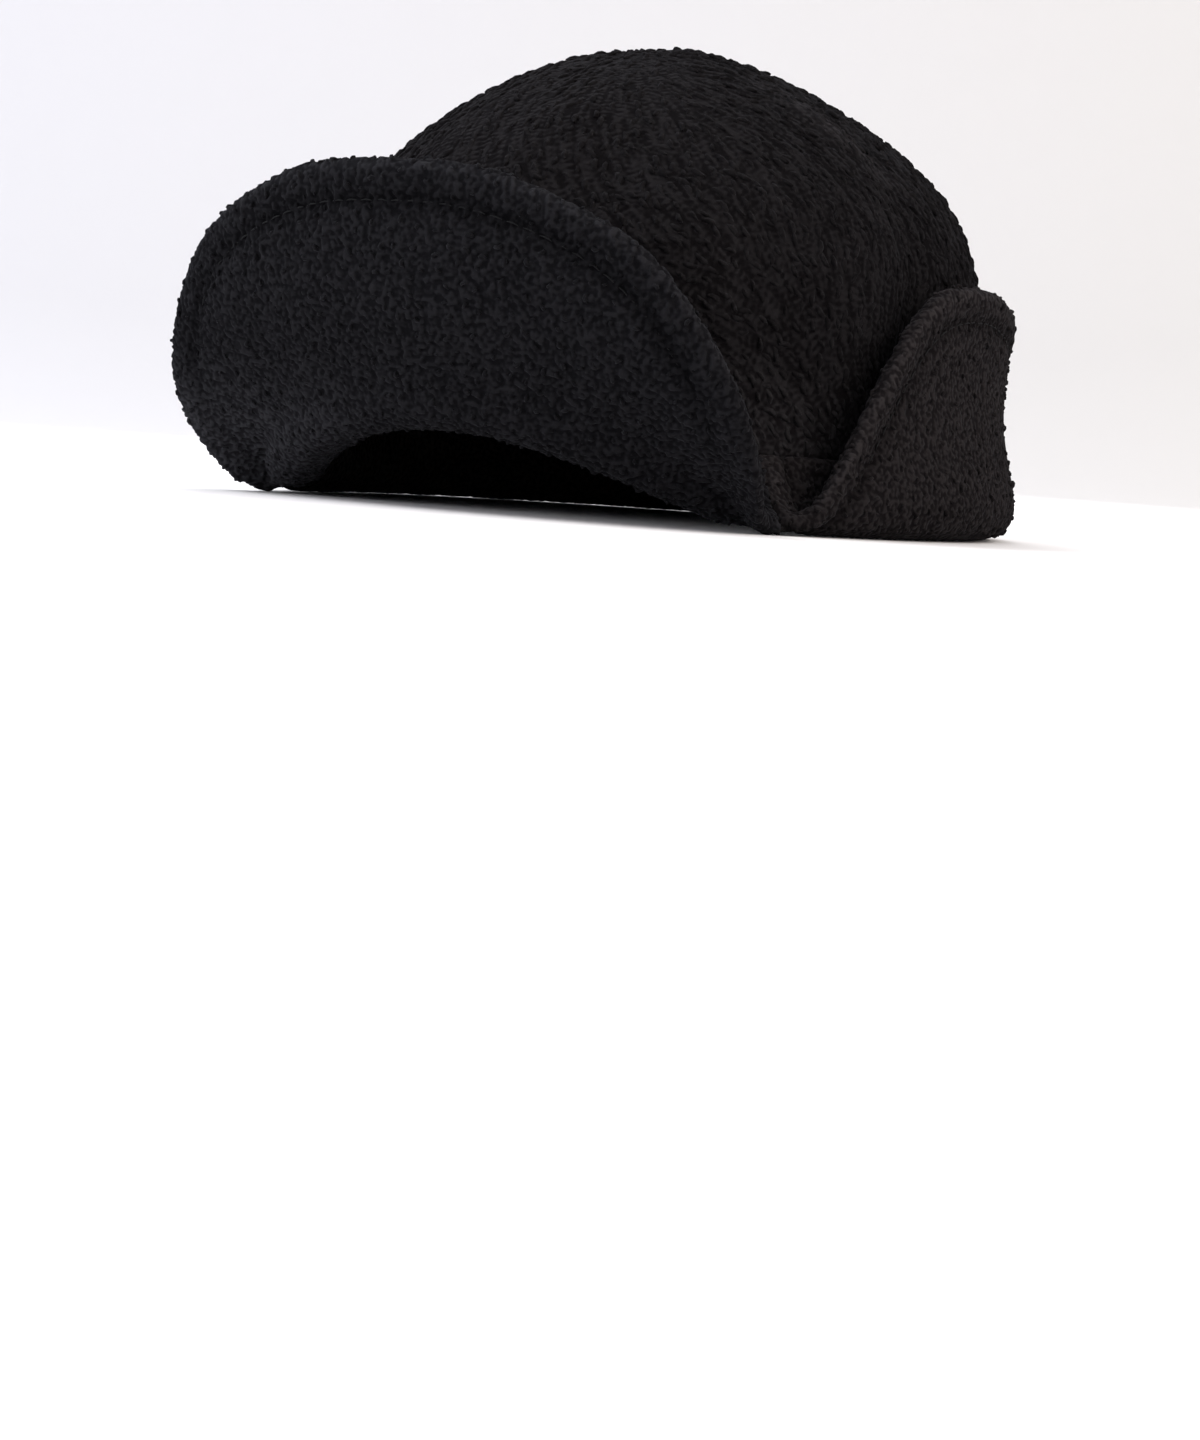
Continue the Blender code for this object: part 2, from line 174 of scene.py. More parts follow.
class Graph:
    """A node tree, shader or geometry, with one method that adds any node."""

    def __init__(self, tree: bpy.types.NodeTree) -> None:
        """Keeps the tree.

        Args:
            tree: the tree that nodes are added to.
        """
        self.tree = tree

    def node(self, kind: str, inputs: dict[Any, Any] | None = None, **settings: Any) -> bpy.types.Node:
        """Adds a node.

        Args:
            kind: the node's type.
            inputs: values or links of its sockets, by name or by number.
            settings: the node's own properties, which are set first.

        Returns:
            The node.
        """
        made = self.tree.nodes.new(kind)
        for name, value in settings.items():
            setattr(made, name, value)
        for key, value in (inputs or {}).items():
            self.feed(made.inputs[key], value)
        return made

    def feed(self, socket: bpy.types.NodeSocket, value: Any) -> None:
        """Links a socket to a value of the tree, or sets it to a constant.

        Args:
            socket: the input.
            value: a Value, an output socket, or a constant.
        """
        if isinstance(value, Value):
            self.tree.links.new(value.socket, socket)
        elif isinstance(value, bpy.types.NodeSocket):
            self.tree.links.new(value, socket)
        else:
            socket.default_value = value

    def value(
        self, kind: str, inputs: dict[Any, Any] | None = None, output: Any = 0, **settings: Any
    ) -> Value:
        """Adds a node and returns one of its outputs.

        Args:
            kind: the node's type.
            inputs: values or links of its sockets, by name or by number.
            output: the name or the number of the output.
            settings: the node's own properties.

        Returns:
            The output as a Value.
        """
        return Value(self, self.node(kind, inputs, **settings).outputs[output])

    def math(self, operation: str, *values: Any) -> Value:
        """Adds a Math node.

        Args:
            operation: the node's operation.
            values: its inputs in order.

        Returns:
            Its result.
        """
        return self.value("ShaderNodeMath", dict(enumerate(values)), operation=operation)

    def vector_math(self, operation: str, *values: Any) -> Value:
        """Adds a Vector Math node.

        Args:
            operation: the node's operation.
            values: its inputs in order.

        Returns:
            Its vector result.
        """
        return self.value("ShaderNodeVectorMath", dict(enumerate(values)), operation=operation)

    def noise(self, place: Any, scale: Any, detail: float = 2.0, **inputs: float) -> Value:
        """Adds a noise.

        Args:
            place: the point where it is read.
            scale: how many times it goes up and down in a metre.
            detail: how much fine detail it has.
            inputs: the node's other inputs.

        Returns:
            The noise, mostly from 0.2 to 0.8.
        """
        sizes = {"Scale": scale, "Detail": detail, **inputs}
        return self.value("ShaderNodeTexNoise", {"Vector": place, **sizes})

    def random(self, low: float, high: float, seed: int) -> Value:
        """Returns a random number between two limits for each point, in a geometry tree."""
        inputs = {2: low, 3: high, "Seed": seed}
        return self.value("FunctionNodeRandomValue", inputs, output=1, data_type="FLOAT")

    def mixed(self, share: Value, low: tuple[float, ...], high: tuple[float, ...]) -> Value:
        """Returns a colour between two colours.

        Args:
            share: 0 for the first and 1 for the second.
            low: the first colour.
            high: the second colour.

        Returns:
            The colour.
        """
        inputs = {0: share, 6: (*low, 1.0), 7: (*high, 1.0)}
        return self.value("ShaderNodeMix", inputs, output=2, data_type="RGBA")

    def surface(self, inputs: dict[str, Any]) -> None:
        """Ends a material's tree in a Principled shader with these inputs."""
        shader = self.node("ShaderNodeBsdfPrincipled", inputs)
        self.node("ShaderNodeOutputMaterial", {"Surface": shader.outputs["BSDF"]})

    def scaled(self, vector: Any, factor: Any) -> Value:
        """Returns a vector times a number."""
        return self.value("ShaderNodeVectorMath", {0: vector, "Scale": factor}, operation="SCALE")

    def straight(self, count: int) -> tuple[Value, Value]:
        """Adds a straight curve 1 long along X, in a geometry tree.

        Args:
            count: how many points it has.

        Returns:
            The curve, and how far along a curve each point is, from 0 to 1.
        """
        ends = {"Start": (0.0, 0.0, 0.0), "End": (1.0, 0.0, 0.0)}
        line = self.value("GeometryNodeCurvePrimitiveLine", ends)
        line = self.value("GeometryNodeResampleCurve", {"Curve": line, "Count": count})
        return line, self.value("GeometryNodeSplineParameter", output="Factor")

    def tube(self, line: Value, place: Value, sides: int, radius: Value, taper: Value) -> Value:
        """Bends a curve and makes it a tube, in a geometry tree.

        Args:
            line: the curve.
            place: where each of its points goes.
            sides: how many sides the tube has.
            radius: its radius.
            taper: what the radius is multiplied by along it.

        Returns:
            The closed tube.
        """
        line = self.value("GeometryNodeSetPosition", {"Geometry": line, "Position": place})
        ring = self.value("GeometryNodeCurvePrimitiveCircle", {"Resolution": sides, "Radius": radius})
        made = self.value(
            "GeometryNodeCurveToMesh",
            {"Curve": line, "Profile Curve": ring, "Scale": taper, "Fill Caps": True},
        )
        return self.value("GeometryNodeSetShadeSmooth", {"Geometry": made, "Shade Smooth": True})

    def attribute(self, name: str, data_type: str = "FLOAT") -> Value:
        """Reads a named attribute in a geometry tree."""
        return self.value("GeometryNodeInputNamedAttribute", {"Name": name}, data_type=data_type)


def start_material(name: str) -> tuple[bpy.types.Material, Graph, Value]:
    """Starts a material.

    Args:
        name: its name.

    Returns:
        The material, its empty graph, and the place in Object coordinates.
    """
    made = bpy.data.materials.new(name)
    made.use_nodes = True
    made.node_tree.nodes.clear()
    graph = Graph(made.node_tree)
    return made, graph, graph.value("ShaderNodeTexCoord", output="Object")


def curls(graph: Graph, place: Any, size: Any, flow: Value, combed: float) -> Value:
    """Draws curls of pile that wind like worms, in a shader tree or a geometry tree.

    A noise is averaged over points a little apart along the way that the pile lies, which draws it
    out into strands.

    Args:
        graph: the tree.
        place: the point where it is read.
        size: the distance between neighbouring curls.
        flow: the way that the pile lies.
        combed: how far it is drawn out, in curl sizes: 0 leaves curls that wind every way.

    Returns:
        1 along the middle of a curl and 0 in the pits beside it.
    """
    taps = (-1.0, 0.0, 1.0) if combed else (0.0,)
    total = 0.0
    for tap in taps:
        shift = graph.scaled(flow, size * (tap * combed))
        spot = graph.vector_math("ADD", place, shift) if combed else place
        total = graph.noise(spot, 2.0 / size, 0.0) + total
    contrast = COMBED_CONTRAST if combed else CURL_CONTRAST
    wave = (total / float(len(taps)) - 0.5) * contrast + CURL_LEVEL
    up = wave.clamped()
    return up * up * (3.0 - 2.0 * up)


class GeometryTree:
    """A Geometry Nodes tree that takes a mesh and named sizes and gives a mesh."""

    def __init__(self, name: str, sizes: dict[str, float]) -> None:
        """Starts a tree with one input for each size.

        Args:
            name: the tree's name.
            sizes: the names of its inputs and their values.
        """
        self.tree = bpy.data.node_groups.new(name, "GeometryNodeTree")
        face = self.tree.interface
        face.new_socket("Geometry", in_out="INPUT", socket_type="NodeSocketGeometry")
        face.new_socket("Geometry", in_out="OUTPUT", socket_type="NodeSocketGeometry")
        self.sizes = sizes
        for size_name in sizes:
            face.new_socket(size_name, in_out="INPUT", socket_type="NodeSocketFloat")
        self.graph = Graph(self.tree)
        self.start = self.graph.node("NodeGroupInput")
        self.end = self.graph.node("NodeGroupOutput")

    def size(self, name: str) -> Value:
        """Returns one of the tree's inputs."""
        return Value(self.graph, self.start.outputs[name])

    def mesh(self) -> Value:
        """Returns the mesh that comes in."""
        return Value(self.graph, self.start.outputs["Geometry"])

    def finish(self, geometry: Value, material: bpy.types.Material) -> None:
        """Ends the tree in Realize Instances and Set Material.

        Args:
            geometry: the tree's result.
            material: the material of all of it.
        """
        real = self.graph.value("GeometryNodeRealizeInstances", {"Geometry": geometry})
        dressed = self.graph.value("GeometryNodeSetMaterial", {"Geometry": real, "Material": material})
        self.graph.feed(self.end.inputs["Geometry"], dressed)

    def run(self, source: bpy.types.Mesh, name: str) -> bpy.types.Mesh:
        """Runs the tree on a mesh.

        Args:
            source: the mesh that goes in.
            name: the name of the mesh that comes out.

        Returns:
            A new plain mesh.
        """
        holder = bpy.data.objects.new("holder_" + name, source)
        bpy.context.scene.collection.objects.link(holder)
        modifier = holder.modifiers.new(self.tree.name, "NODES")
        modifier.node_group = self.tree
        for item in self.tree.interface.items_tree:
            if item.in_out == "INPUT" and item.name in self.sizes:
                modifier[item.identifier] = float(self.sizes[item.name])
        mesh = evaluated_mesh(holder, name)
        bpy.data.objects.remove(holder, do_unlink=True)
        return mesh


def evaluated_mesh(thing: bpy.types.Object, name: str) -> bpy.types.Mesh:
    """Turns an object with modifiers into a plain mesh.

    Args:
        thing: the object.
        name: the new mesh's name.

    Returns:
        The mesh as the modifiers leave it.
    """
    bpy.context.view_layer.update()
    graph = bpy.context.evaluated_depsgraph_get()
    mesh = bpy.data.meshes.new_from_object(thing.evaluated_get(graph), depsgraph=graph)
    mesh.name = name
    return mesh


def rows_of(values: Any, name: str) -> np.ndarray:
    """Reads a vector of every vertex of a mesh.

    Args:
        values: the mesh's vertices or vertex normals.
        name: the vector's name.

    Returns:
        One row for each vertex.
    """
    flat = np.empty(len(values) * 3, np.float32)
    values.foreach_get(name, flat)
    return flat.reshape(-1, 3).astype(np.float64)


def points_of(mesh: bpy.types.Mesh) -> np.ndarray:
    """Returns a mesh's points as an array of rows."""
    return rows_of(mesh.vertices, "co")


def normals_of(mesh: bpy.types.Mesh) -> np.ndarray:
    """Returns a mesh's vertex normals as an array of rows."""
    return rows_of(mesh.vertex_normals, "vector")


def dots(first: np.ndarray, second: np.ndarray) -> np.ndarray:
    """Returns the dot product of each pair of rows."""
    return np.einsum("ij,ij->i", first, second)


def laid_along(normals: np.ndarray, way: tuple[float, float, float]) -> np.ndarray:
    """Lays one direction onto the cloth.

    Args:
        normals: the cloth's normals.
        way: the direction.

    Returns:
        At each point the direction along the cloth that is nearest to it, of length 1.
    """
    along = np.array(way) - normals * (normals @ np.array(way))[:, None]
    along += 1e-6
    return along / np.linalg.norm(along, axis=1, keepdims=True)


def turned(along: np.ndarray, normals: np.ndarray, turn: np.ndarray) -> np.ndarray:
    """Turns directions that lie on the cloth.

    Args:
        along: the directions.
        normals: the cloth's normals, which they turn about.
        turn: each one's angle.

    Returns:
        The turned directions.
    """
    side = np.cross(normals, along)
    return along * np.cos(turn)[:, None] + side * np.sin(turn)[:, None]


def move_points(mesh: bpy.types.Mesh, points: np.ndarray) -> None:
    """Puts a mesh's points at new places.

    Args:
        mesh: the mesh.
        points: one row for each of its points.
    """
    mesh.vertices.foreach_set("co", points.astype(np.float32).ravel())
    mesh.update()


def store(mesh: bpy.types.Mesh, name: str, values: np.ndarray) -> None:
    """Keeps a number or a vector for each point of a mesh as an attribute.

    Args:
        mesh: the mesh.
        name: the attribute's name.
        values: one value or row for each point.
    """
    vector = values.ndim == 2
    made = mesh.attributes.new(name, "FLOAT_VECTOR" if vector else "FLOAT", "POINT")
    made.data.foreach_set("vector" if vector else "value", values.astype(np.float32).ravel())


def smooth_step(values: np.ndarray, low: float, high: float) -> np.ndarray:
    """Goes smoothly from 0 at low to 1 at high.

    Args:
        values: where it is read.
        low: below this it is 0.
        high: above this it is 1.

    Returns:
        The steps, each from 0 to 1.
    """
    part = np.clip((values - low) / (high - low), 0.0, 1.0)
    return part * part * (3.0 - 2.0 * part)


def put(name: str, mesh: bpy.types.Mesh) -> bpy.types.Object:
    """Makes an object at the origin from a finished mesh.

    Args:
        name: the object's name.
        mesh: its mesh.

    Returns:
        The object, in the scene.
    """
    thing = bpy.data.objects.new(name, mesh)
    bpy.context.scene.collection.objects.link(thing)
    return thing


@dataclass(frozen=True)
class Fleece:
    """Curly pile fleece finish: painted shade darkens it between the locks; tips are a little paler."""

    name: str
    root: tuple[float, float, float]
    tip: tuple[float, float, float]
    roughness: float = 0.9
    sheen: float = 0.025
    sheen_roughness: float = 0.4
    sheen_tint: tuple[float, float, float] = (0.75, 0.75, 0.82)
    curl_size: float = 2.6 * MM
    combed: float = 0.0
    curl_depth: float = 0.8 * MM
    curl_bump: float = 0.45
    strand_size: float = 0.5 * MM
    strand_bump: float = 0.15
    patch_size: float = 16.0 * MM
    # How much of the way from root to tip each of these takes the colour
    least_share: float = 0.03
    # crest_share and lock_crest darken pits between curls and buried lock ends: painted shade on dark pile
    crest_share: float = 0.75
    lock_crest: float = 0.55
    tint_share: float = 0.08
    patch_share: float = 0.3
    strand_share: float = 0.2

    def material(self) -> bpy.types.Material:
        """Builds the finish as a material.

        Returns:
            A Principled material that reads Object coordinates and the locks' attributes.
        """
        made, graph, place = start_material(self.name)
        along = graph.value("ShaderNodeAttribute", output="Fac", attribute_name="along")
        tint = graph.value("ShaderNodeAttribute", output="Fac", attribute_name="tint")
        flow = graph.value("ShaderNodeAttribute", output="Vector", attribute_name="flow")
        curl = curls(graph, place, self.curl_size, flow, self.combed)
        patch = graph.noise(place, 1.0 / self.patch_size)
        strand = graph.noise(place, 1.0 / self.strand_size, 3.0, Roughness=0.65, Distortion=1.2)
        crest = curl.at_least(along * self.lock_crest)
        painted_shading = graph.value("ShaderNodeAttribute", output="Fac", attribute_name="painted_shading")
        share = crest * self.crest_share + tint * self.tint_share + (patch - 0.5) * self.patch_share
        share = share + (strand - 0.5) * self.strand_share + self.least_share
        # The colour is multiplied by the cloth's painted light and shade, kept in an attribute
        colour = graph.scaled(graph.mixed(share.clamped(), self.root, self.tip), painted_shading)
        wound = graph.value(
            "ShaderNodeBump",
            {"Strength": self.curl_bump, "Distance": self.curl_depth, "Height": curl},
        )
        bump = graph.value(
            "ShaderNodeBump",
            {"Strength": self.strand_bump, "Distance": self.strand_size, "Height": strand, "Normal": wound},
        )
        graph.surface(
            {
                "Base Color": colour,
                "Roughness": self.roughness,
                "Specular IOR Level": 0.0,
                "Sheen Weight": self.sheen,
                "Sheen Roughness": self.sheen_roughness,
                "Sheen Tint": (*self.sheen_tint, 1.0),
                "Normal": bump,
            }
        )
        return made


@dataclass(frozen=True)
class SewingThread:
    """Matt thread of one colour that fades a little in soft patches."""

    name: str
    colour: tuple[float, float, float]
    roughness: float = 0.8
    specular: float = 0.1
    faded: float = 0.97
    patch_size: float = 4.0 * MM

    def material(self) -> bpy.types.Material:
        """Builds the finish as a material.

        Returns:
            A Principled material that reads Object coordinates.
        """
        made, graph, place = start_material(self.name)
        patch = graph.noise(place, 1.0 / self.patch_size)
        colour = graph.mixed(patch, tuple(part * self.faded for part in self.colour), self.colour)
        graph.surface(
            {"Base Color": colour, "Roughness": self.roughness, "Specular IOR Level": self.specular}
        )
        return made


@dataclass(frozen=True)
class Paper:
    """Matt background paper, cool white to warm white along a level direction: painted light."""

    name: str
    cool: tuple[float, float, float]
    warm: tuple[float, float, float]
    towards: tuple[float, float, float]
    width: float
    roughness: float = 0.8
    specular: float = 0.1

    def material(self) -> bpy.types.Material:
        """Builds the finish as a material.

        Returns:
            A Principled material that reads Object coordinates.
        """
        made, graph, place = start_material(self.name)
        along = graph.value(
            "ShaderNodeVectorMath", {0: place, 1: self.towards}, output="Value", operation="DOT_PRODUCT"
        )
        colour = graph.mixed((along / self.width + 0.5).clamped(), self.cool, self.warm)
        graph.surface(
            {"Base Color": colour, "Roughness": self.roughness, "Specular IOR Level": self.specular}
        )
        return made


@dataclass(frozen=True)
class Nubs:
    """The fleece's ground: clumps of pile as a relief of the cloth."""

    curl_size: float
    curl_height: float
    combed: float = 0.0
    clump_size: float = 9.0 * MM
    clump_height: float = 0.5 * MM
    bare_share: float = 0.35

    def roughen(self, mesh: bpy.types.Mesh, name: str, material: bpy.types.Material) -> bpy.types.Mesh:
        """Raises the nubs on a mesh.

        Args:
            mesh: the smooth cloth, with the attributes cover and flow.
            name: the new mesh's name.
            material: its material.

        Returns:
            The cloth with its nubs, none of it under the floor.
        """
        tree = GeometryTree(
            "nubs_" + name,
            {
                "Curl Size": self.curl_size,
                "Curl Height": self.curl_height,
                "Clump Size": self.clump_size,
                "Clump Height": self.clump_height,
            },
        )
        graph = tree.graph
        place = graph.value("GeometryNodeInputPosition")
        normal = graph.value("GeometryNodeInputNormal")
        flow = graph.attribute("flow", "FLOAT_VECTOR")
        curl = curls(graph, place, tree.size("Curl Size"), flow, self.combed)
        clump = graph.noise(place, 1.0 / tree.size("Clump Size"))
        cover = graph.attribute("cover")
        stands = self.bare_share + cover * (1.0 - self.bare_share)
        height = (curl - 0.5) * tree.size("Curl Height") * stands
        height = height + (clump - 0.5) * tree.size("Clump Height")
        moved = graph.value(
            "GeometryNodeSetPosition",
            {"Geometry": tree.mesh(), "Offset": graph.scaled(normal, height)},
        )
        tree.finish(on_floor(graph, moved), material)
        return tree.run(mesh, name)


def on_floor(graph: Graph, geometry: Value) -> Value:
    """Flattens what would go under the floor.

    Args:
        graph: the geometry tree's graph.
        geometry: what is flattened.

    Returns:
        The geometry with no point below 0.
    """
    place = graph.value("GeometryNodeInputPosition")
    parts = graph.node("ShaderNodeSeparateXYZ", {"Vector": place})
    height = Value(graph, parts.outputs["Z"]).at_least(0.0)
    level = {"X": parts.outputs["X"], "Y": parts.outputs["Y"]}
    flat = graph.value("ShaderNodeCombineXYZ", {**level, "Z": height})
    return graph.value("GeometryNodeSetPosition", {"Geometry": geometry, "Position": flat})


@dataclass(frozen=True)
class Locks:
    """Small curled locks of pile that stand on the cloth."""

    spacing: float
    length: float
    thickness: float
    curl: float
    lift: float
    spread: float
    seed: int
    variants: int = 4
    steps: int = 4
    sides: int = 5
    crowding: float = 1.4
    tilt: float = 0.35
    uneven: float = 0.25
    end_thickness: float = 0.35
    rise_early: float = 0.8
    sunk: float = 0.6
    cover_name: str = "cover"

    def lock_shape(self, tree: GeometryTree, number: int) -> Value:
        """Builds one lock: a thin tapered tube bent along an arc that rises and falls.

        Args:
            tree: the tree that it is built in.
            number: which of the variants it is.

        Returns:
            The lock as an instance, lying along X with its ends in the cloth.
        """
        graph = tree.graph
        way = -1.0 if number % 2 else 1.0
        bend = 0.75 + 0.5 * number / self.variants
        line, along = graph.straight(self.steps + 1)
        line = graph.value(
            "GeometryNodeStoreNamedAttribute",
            {"Geometry": line, "Name": "along", "Value": (along * math.pi).sin()},
            data_type="FLOAT",
            domain="POINT",
        )
        turn = tree.size("Curl") * bend
        radius = tree.size("Length") / turn
        angle = (along - 0.5) * turn
        x = angle.sin() * radius
        y = (1.0 - angle.cos()) * radius * way
        rise = ((along**self.rise_early) * math.pi).sin()
        z = rise * tree.size("Lift") * (1.25 - 0.5 * bend) - tree.size("Thickness") * self.sunk
        place = graph.value("ShaderNodeCombineXYZ", {"X": x, "Y": y, "Z": z})
        taper = self.end_thickness + (1.0 - self.end_thickness) * (along * math.pi).sin()
        tube = graph.tube(line, place, self.sides, tree.size("Thickness"), taper)
        return graph.value("GeometryNodeGeometryToInstance", {"Geometry": tube})

    def grow(self, mesh: bpy.types.Mesh, name: str, material: bpy.types.Material) -> bpy.types.Mesh:
        """Covers a mesh with locks.

        Args:
            mesh: the cloth, with the attributes cover, pile and flow.
            name: the new mesh's name.
            material: its material.

        Returns:
            A mesh of the locks alone.
        """
        tree = GeometryTree(
            "locks_" + name,
            {
                "Spacing": self.spacing,
                "Length": self.length,
                "Thickness": self.thickness,
                "Curl": self.curl,
                "Lift": self.lift,
                "Spread": self.spread,
            },
        )
        graph = tree.graph
        scatter = graph.node(
            "GeometryNodeDistributePointsOnFaces",
            {
                "Mesh": tree.mesh(),
                "Distance Min": tree.size("Spacing"),
                "Density Max": self.crowding / self.spacing**2,
                "Density Factor": graph.attribute(self.cover_name),
                "Seed": self.seed,
            },
            distribute_method="POISSON",
        )
        upright = graph.value(
            "FunctionNodeAlignRotationToVector",
            {"Vector": scatter.outputs["Normal"]},
            axis="Z",
        )
        flowing = graph.value(
            "FunctionNodeAlignRotationToVector",
            {"Rotation": upright, "Vector": graph.attribute("flow", "FLOAT_VECTOR")},
            axis="X",
            pivot_axis="Z",
        )
        swing = graph.random(-1.0, 1.0, self.seed + 1)
        tilt = graph.random(-self.tilt, self.tilt, self.seed + 2)
        turn = graph.value("ShaderNodeCombineXYZ", {"Y": tilt, "Z": swing * tree.size("Spread")})
        turn = graph.value("FunctionNodeEulerToRotation", {"Euler": turn})
        rotation = graph.value(
            "FunctionNodeRotateRotation",
            {"Rotation": flowing, "Rotate By": turn},
            rotation_space="LOCAL",
        )
        shapes = graph.node("GeometryNodeJoinGeometry")
        for number in range(self.variants):
            graph.feed(shapes.inputs["Geometry"], self.lock_shape(tree, number))
        size = graph.random(1.0 - self.uneven, 1.0 + self.uneven, self.seed + 3)
        pick = graph.value(
            "FunctionNodeRandomValue",
            {4: 0, 5: self.variants - 1, "Seed": self.seed + 4},
            output=2,
            data_type="INT",
        )
        stood = graph.value(
            "GeometryNodeInstanceOnPoints",
            {
                "Points": scatter.outputs["Points"],
                "Instance": shapes.outputs["Geometry"],
                "Pick Instance": True,
                "Instance Index": pick,
                "Rotation": rotation,
                "Scale": graph.scaled((1.0, 1.0, 1.0), size * graph.attribute("pile")),
            },
        )
        tint = graph.random(0.0, 1.0, self.seed + 5)
        stood = graph.value(
            "GeometryNodeStoreNamedAttribute",
            {"Geometry": stood, "Name": "tint", "Value": tint},
            data_type="FLOAT",
            domain="INSTANCE",
        )
        real = graph.value("GeometryNodeRealizeInstances", {"Geometry": stood})
        tree.finish(on_floor(graph, real), material)
        return tree.run(mesh, name)


@dataclass(frozen=True)
class HeadOval:
    """The oval round the head that the cuffs follow."""

    half_width: float
    half_length: float
    middle_y: float

    @classmethod
    def read(cls) -> HeadOval:
        """Reads the oval from the frame.

        Returns:
            The oval of the crown's nodes.
        """
        corners = np.array([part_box(panel) for panel in CROWN_PANELS])
        low = corners[:, 0].min(axis=0)
        high = corners[:, 1].max(axis=0)
        half = (high - low) / 2
        return cls(float(half[0]), float(half[1]), float(high[1] + low[1]) / 2)

    def middle(self, height: float = 0.0) -> Vector:
        """Returns the oval's middle at a height."""
        return Vector((0.0, self.middle_y, height))

    def angle(self, points: np.ndarray) -> np.ndarray:
        """Returns each point's angle round the head, 0 in front and positive to the wearer's left."""
        ahead = -(points[:, 1] - self.middle_y)
        return np.arctan2(points[:, 0] / self.half_width, ahead / self.half_length)

    def offset(self, points: np.ndarray) -> np.ndarray:
        """Measures how far outside the oval points are.

        Args:
            points: the points.

        Returns:
            Each point's level distance from the oval, less than 0 inside it.
        """
        behind = points[:, 1] - self.middle_y
        share = np.hypot(points[:, 0] / self.half_width, behind / self.half_length)
        reach = np.hypot(points[:, 0], behind)
        return reach - reach / share

    def outwards(self, points: np.ndarray) -> np.ndarray:
        """Finds the way out from the head.

        Args:
            points: the points.

        Returns:
            The level direction away from the oval at each point.
        """
        behind = points[:, 1] - self.middle_y
        away = np.stack([points[:, 0] / self.half_width**2, behind / self.half_length**2], axis=1)
        away /= np.linalg.norm(away, axis=1, keepdims=True)
        return np.concatenate([away, np.zeros((len(points), 1))], axis=1)


@dataclass
class Cloth:
    """A piece of the frame refined into a smooth dense mesh of its cloth."""

    name: str
    nodes: tuple[str, ...]
    voxel: float
    merged: float = 0.002 * MM
    flat_angle: float = 30.0
    skewed_angle: float = 60.0
    crease_angle: float = 50.0
    crease: float = 0.9
    ease_rounds: int = 4

    def refine(self, frame: dict[str, Any]) -> bpy.types.Mesh:
        """Copies the nodes' meshes, joins their loose triangles, smooths them and gives them even faces.

        Nodes that are sewn together lie closer than a voxel, so they become one skin.

        Args:
            frame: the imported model.

        Returns:
            The refined mesh.
        """
        shape = bmesh.new()
        for node in self.nodes:
            shape.from_mesh(frame["nodes"][node].data)
        bmesh.ops.remove_doubles(shape, verts=shape.verts, dist=self.merged)
        bmesh.ops.join_triangles(
            shape,
            faces=shape.faces,
            angle_face_threshold=math.radians(self.flat_angle),
            angle_shape_threshold=math.radians(self.skewed_angle),
        )
        crease = shape.edges.layers.float.new("crease_edge")
        for edge in shape.edges:
            if edge.calc_face_angle(0.0) > math.radians(self.crease_angle):
                edge[crease] = self.crease
        mesh = bpy.data.meshes.new(self.name + "_shape")
        shape.to_mesh(mesh)
        shape.free()
        holder = bpy.data.objects.new("refine_" + self.name, mesh)
        bpy.context.scene.collection.objects.link(holder)
        rounds = holder.modifiers.new("rounds", "SUBSURF")
        rounds.levels = 2
        rounds.render_levels = 2
        even = holder.modifiers.new("even", "REMESH")
        even.mode = "VOXEL"
        even.voxel_size = self.voxel
        even.use_smooth_shade = True
        ease = holder.modifiers.new("ease", "SMOOTH")
        ease.iterations = self.ease_rounds
        refined = evaluated_mesh(holder, self.name + "_cloth")
        bpy.data.objects.remove(holder, do_unlink=True)
        return refined


@dataclass
class EdgeLine:
    """The free edge of a brim or a flap, found on its cloth round the head."""

    oval: HeadOval
    bins: int = 180
    smoothing: int = 3
    outwards: float = 2.0
    step: float = 0.6 * MM
    tree: kdtree.KDTree | None = None
    line: np.ndarray = field(default_factory=lambda: np.zeros((0, 3)))

    def find(self, points: np.ndarray) -> None:
        """Finds the edge: at each angle the point that is highest and farthest out.

        Args:
            points: the points of the cloth.
        """
        angle = self.oval.angle(points)
        score = points[:, 2] + self.outwards * self.oval.offset(points)
        place = ((angle + math.pi) / (2 * math.pi) * self.bins).astype(int) % self.bins
        order = np.lexsort((score, place))
        last = np.r_[place[order][1:] != place[order][:-1], True]
        edge = points[order[last]]
        self.line = self.smoothed(edge, self.oval.angle(edge))
        dense = self.resampled(self.line, self.step)
        self.tree = kdtree.KDTree(len(dense))
        for number, point in enumerate(dense):
            self.tree.insert(Vector(point), number)
        self.tree.balance()

    def smoothed(self, points: np.ndarray, angle: np.ndarray) -> np.ndarray:
        """Orders points round the head, from the widest gap on, and evens them out.

        Args:
            points: the points of a line, in any order.
            angle: each point's angle round the head.

        Returns:
            The ordered, smoothed points.
        """
        order = np.argsort(angle)
        gaps = np.diff(np.r_[angle[order], angle[order][0] + 2 * math.pi])
        first = (int(np.argmax(gaps)) + 1) % len(order)
        line = points[np.roll(order, -first)]
        for _ in range(self.smoothing):
            line[1:-1] = 0.25 * line[:-2] + 0.5 * line[1:-1] + 0.25 * line[2:]
        return line

    @staticmethod
    def resampled(line: np.ndarray, step: float) -> np.ndarray:
        """Puts points evenly along a line.

        Args:
            line: its points in order.
            step: the distance between the new points.

        Returns:
            The new points in order.
        """
        lengths = np.r_[0.0, np.cumsum(np.linalg.norm(np.diff(line, axis=0), axis=1))]
        at = np.arange(0.0, lengths[-1], step)
        return np.stack([np.interp(at, lengths, line[:, axis]) for axis in range(3)], axis=1)

    def distance(self, points: np.ndarray) -> np.ndarray:
        """Returns each point's distance to the edge."""
        return np.array([self.tree.find(Vector(point))[2] for point in points])


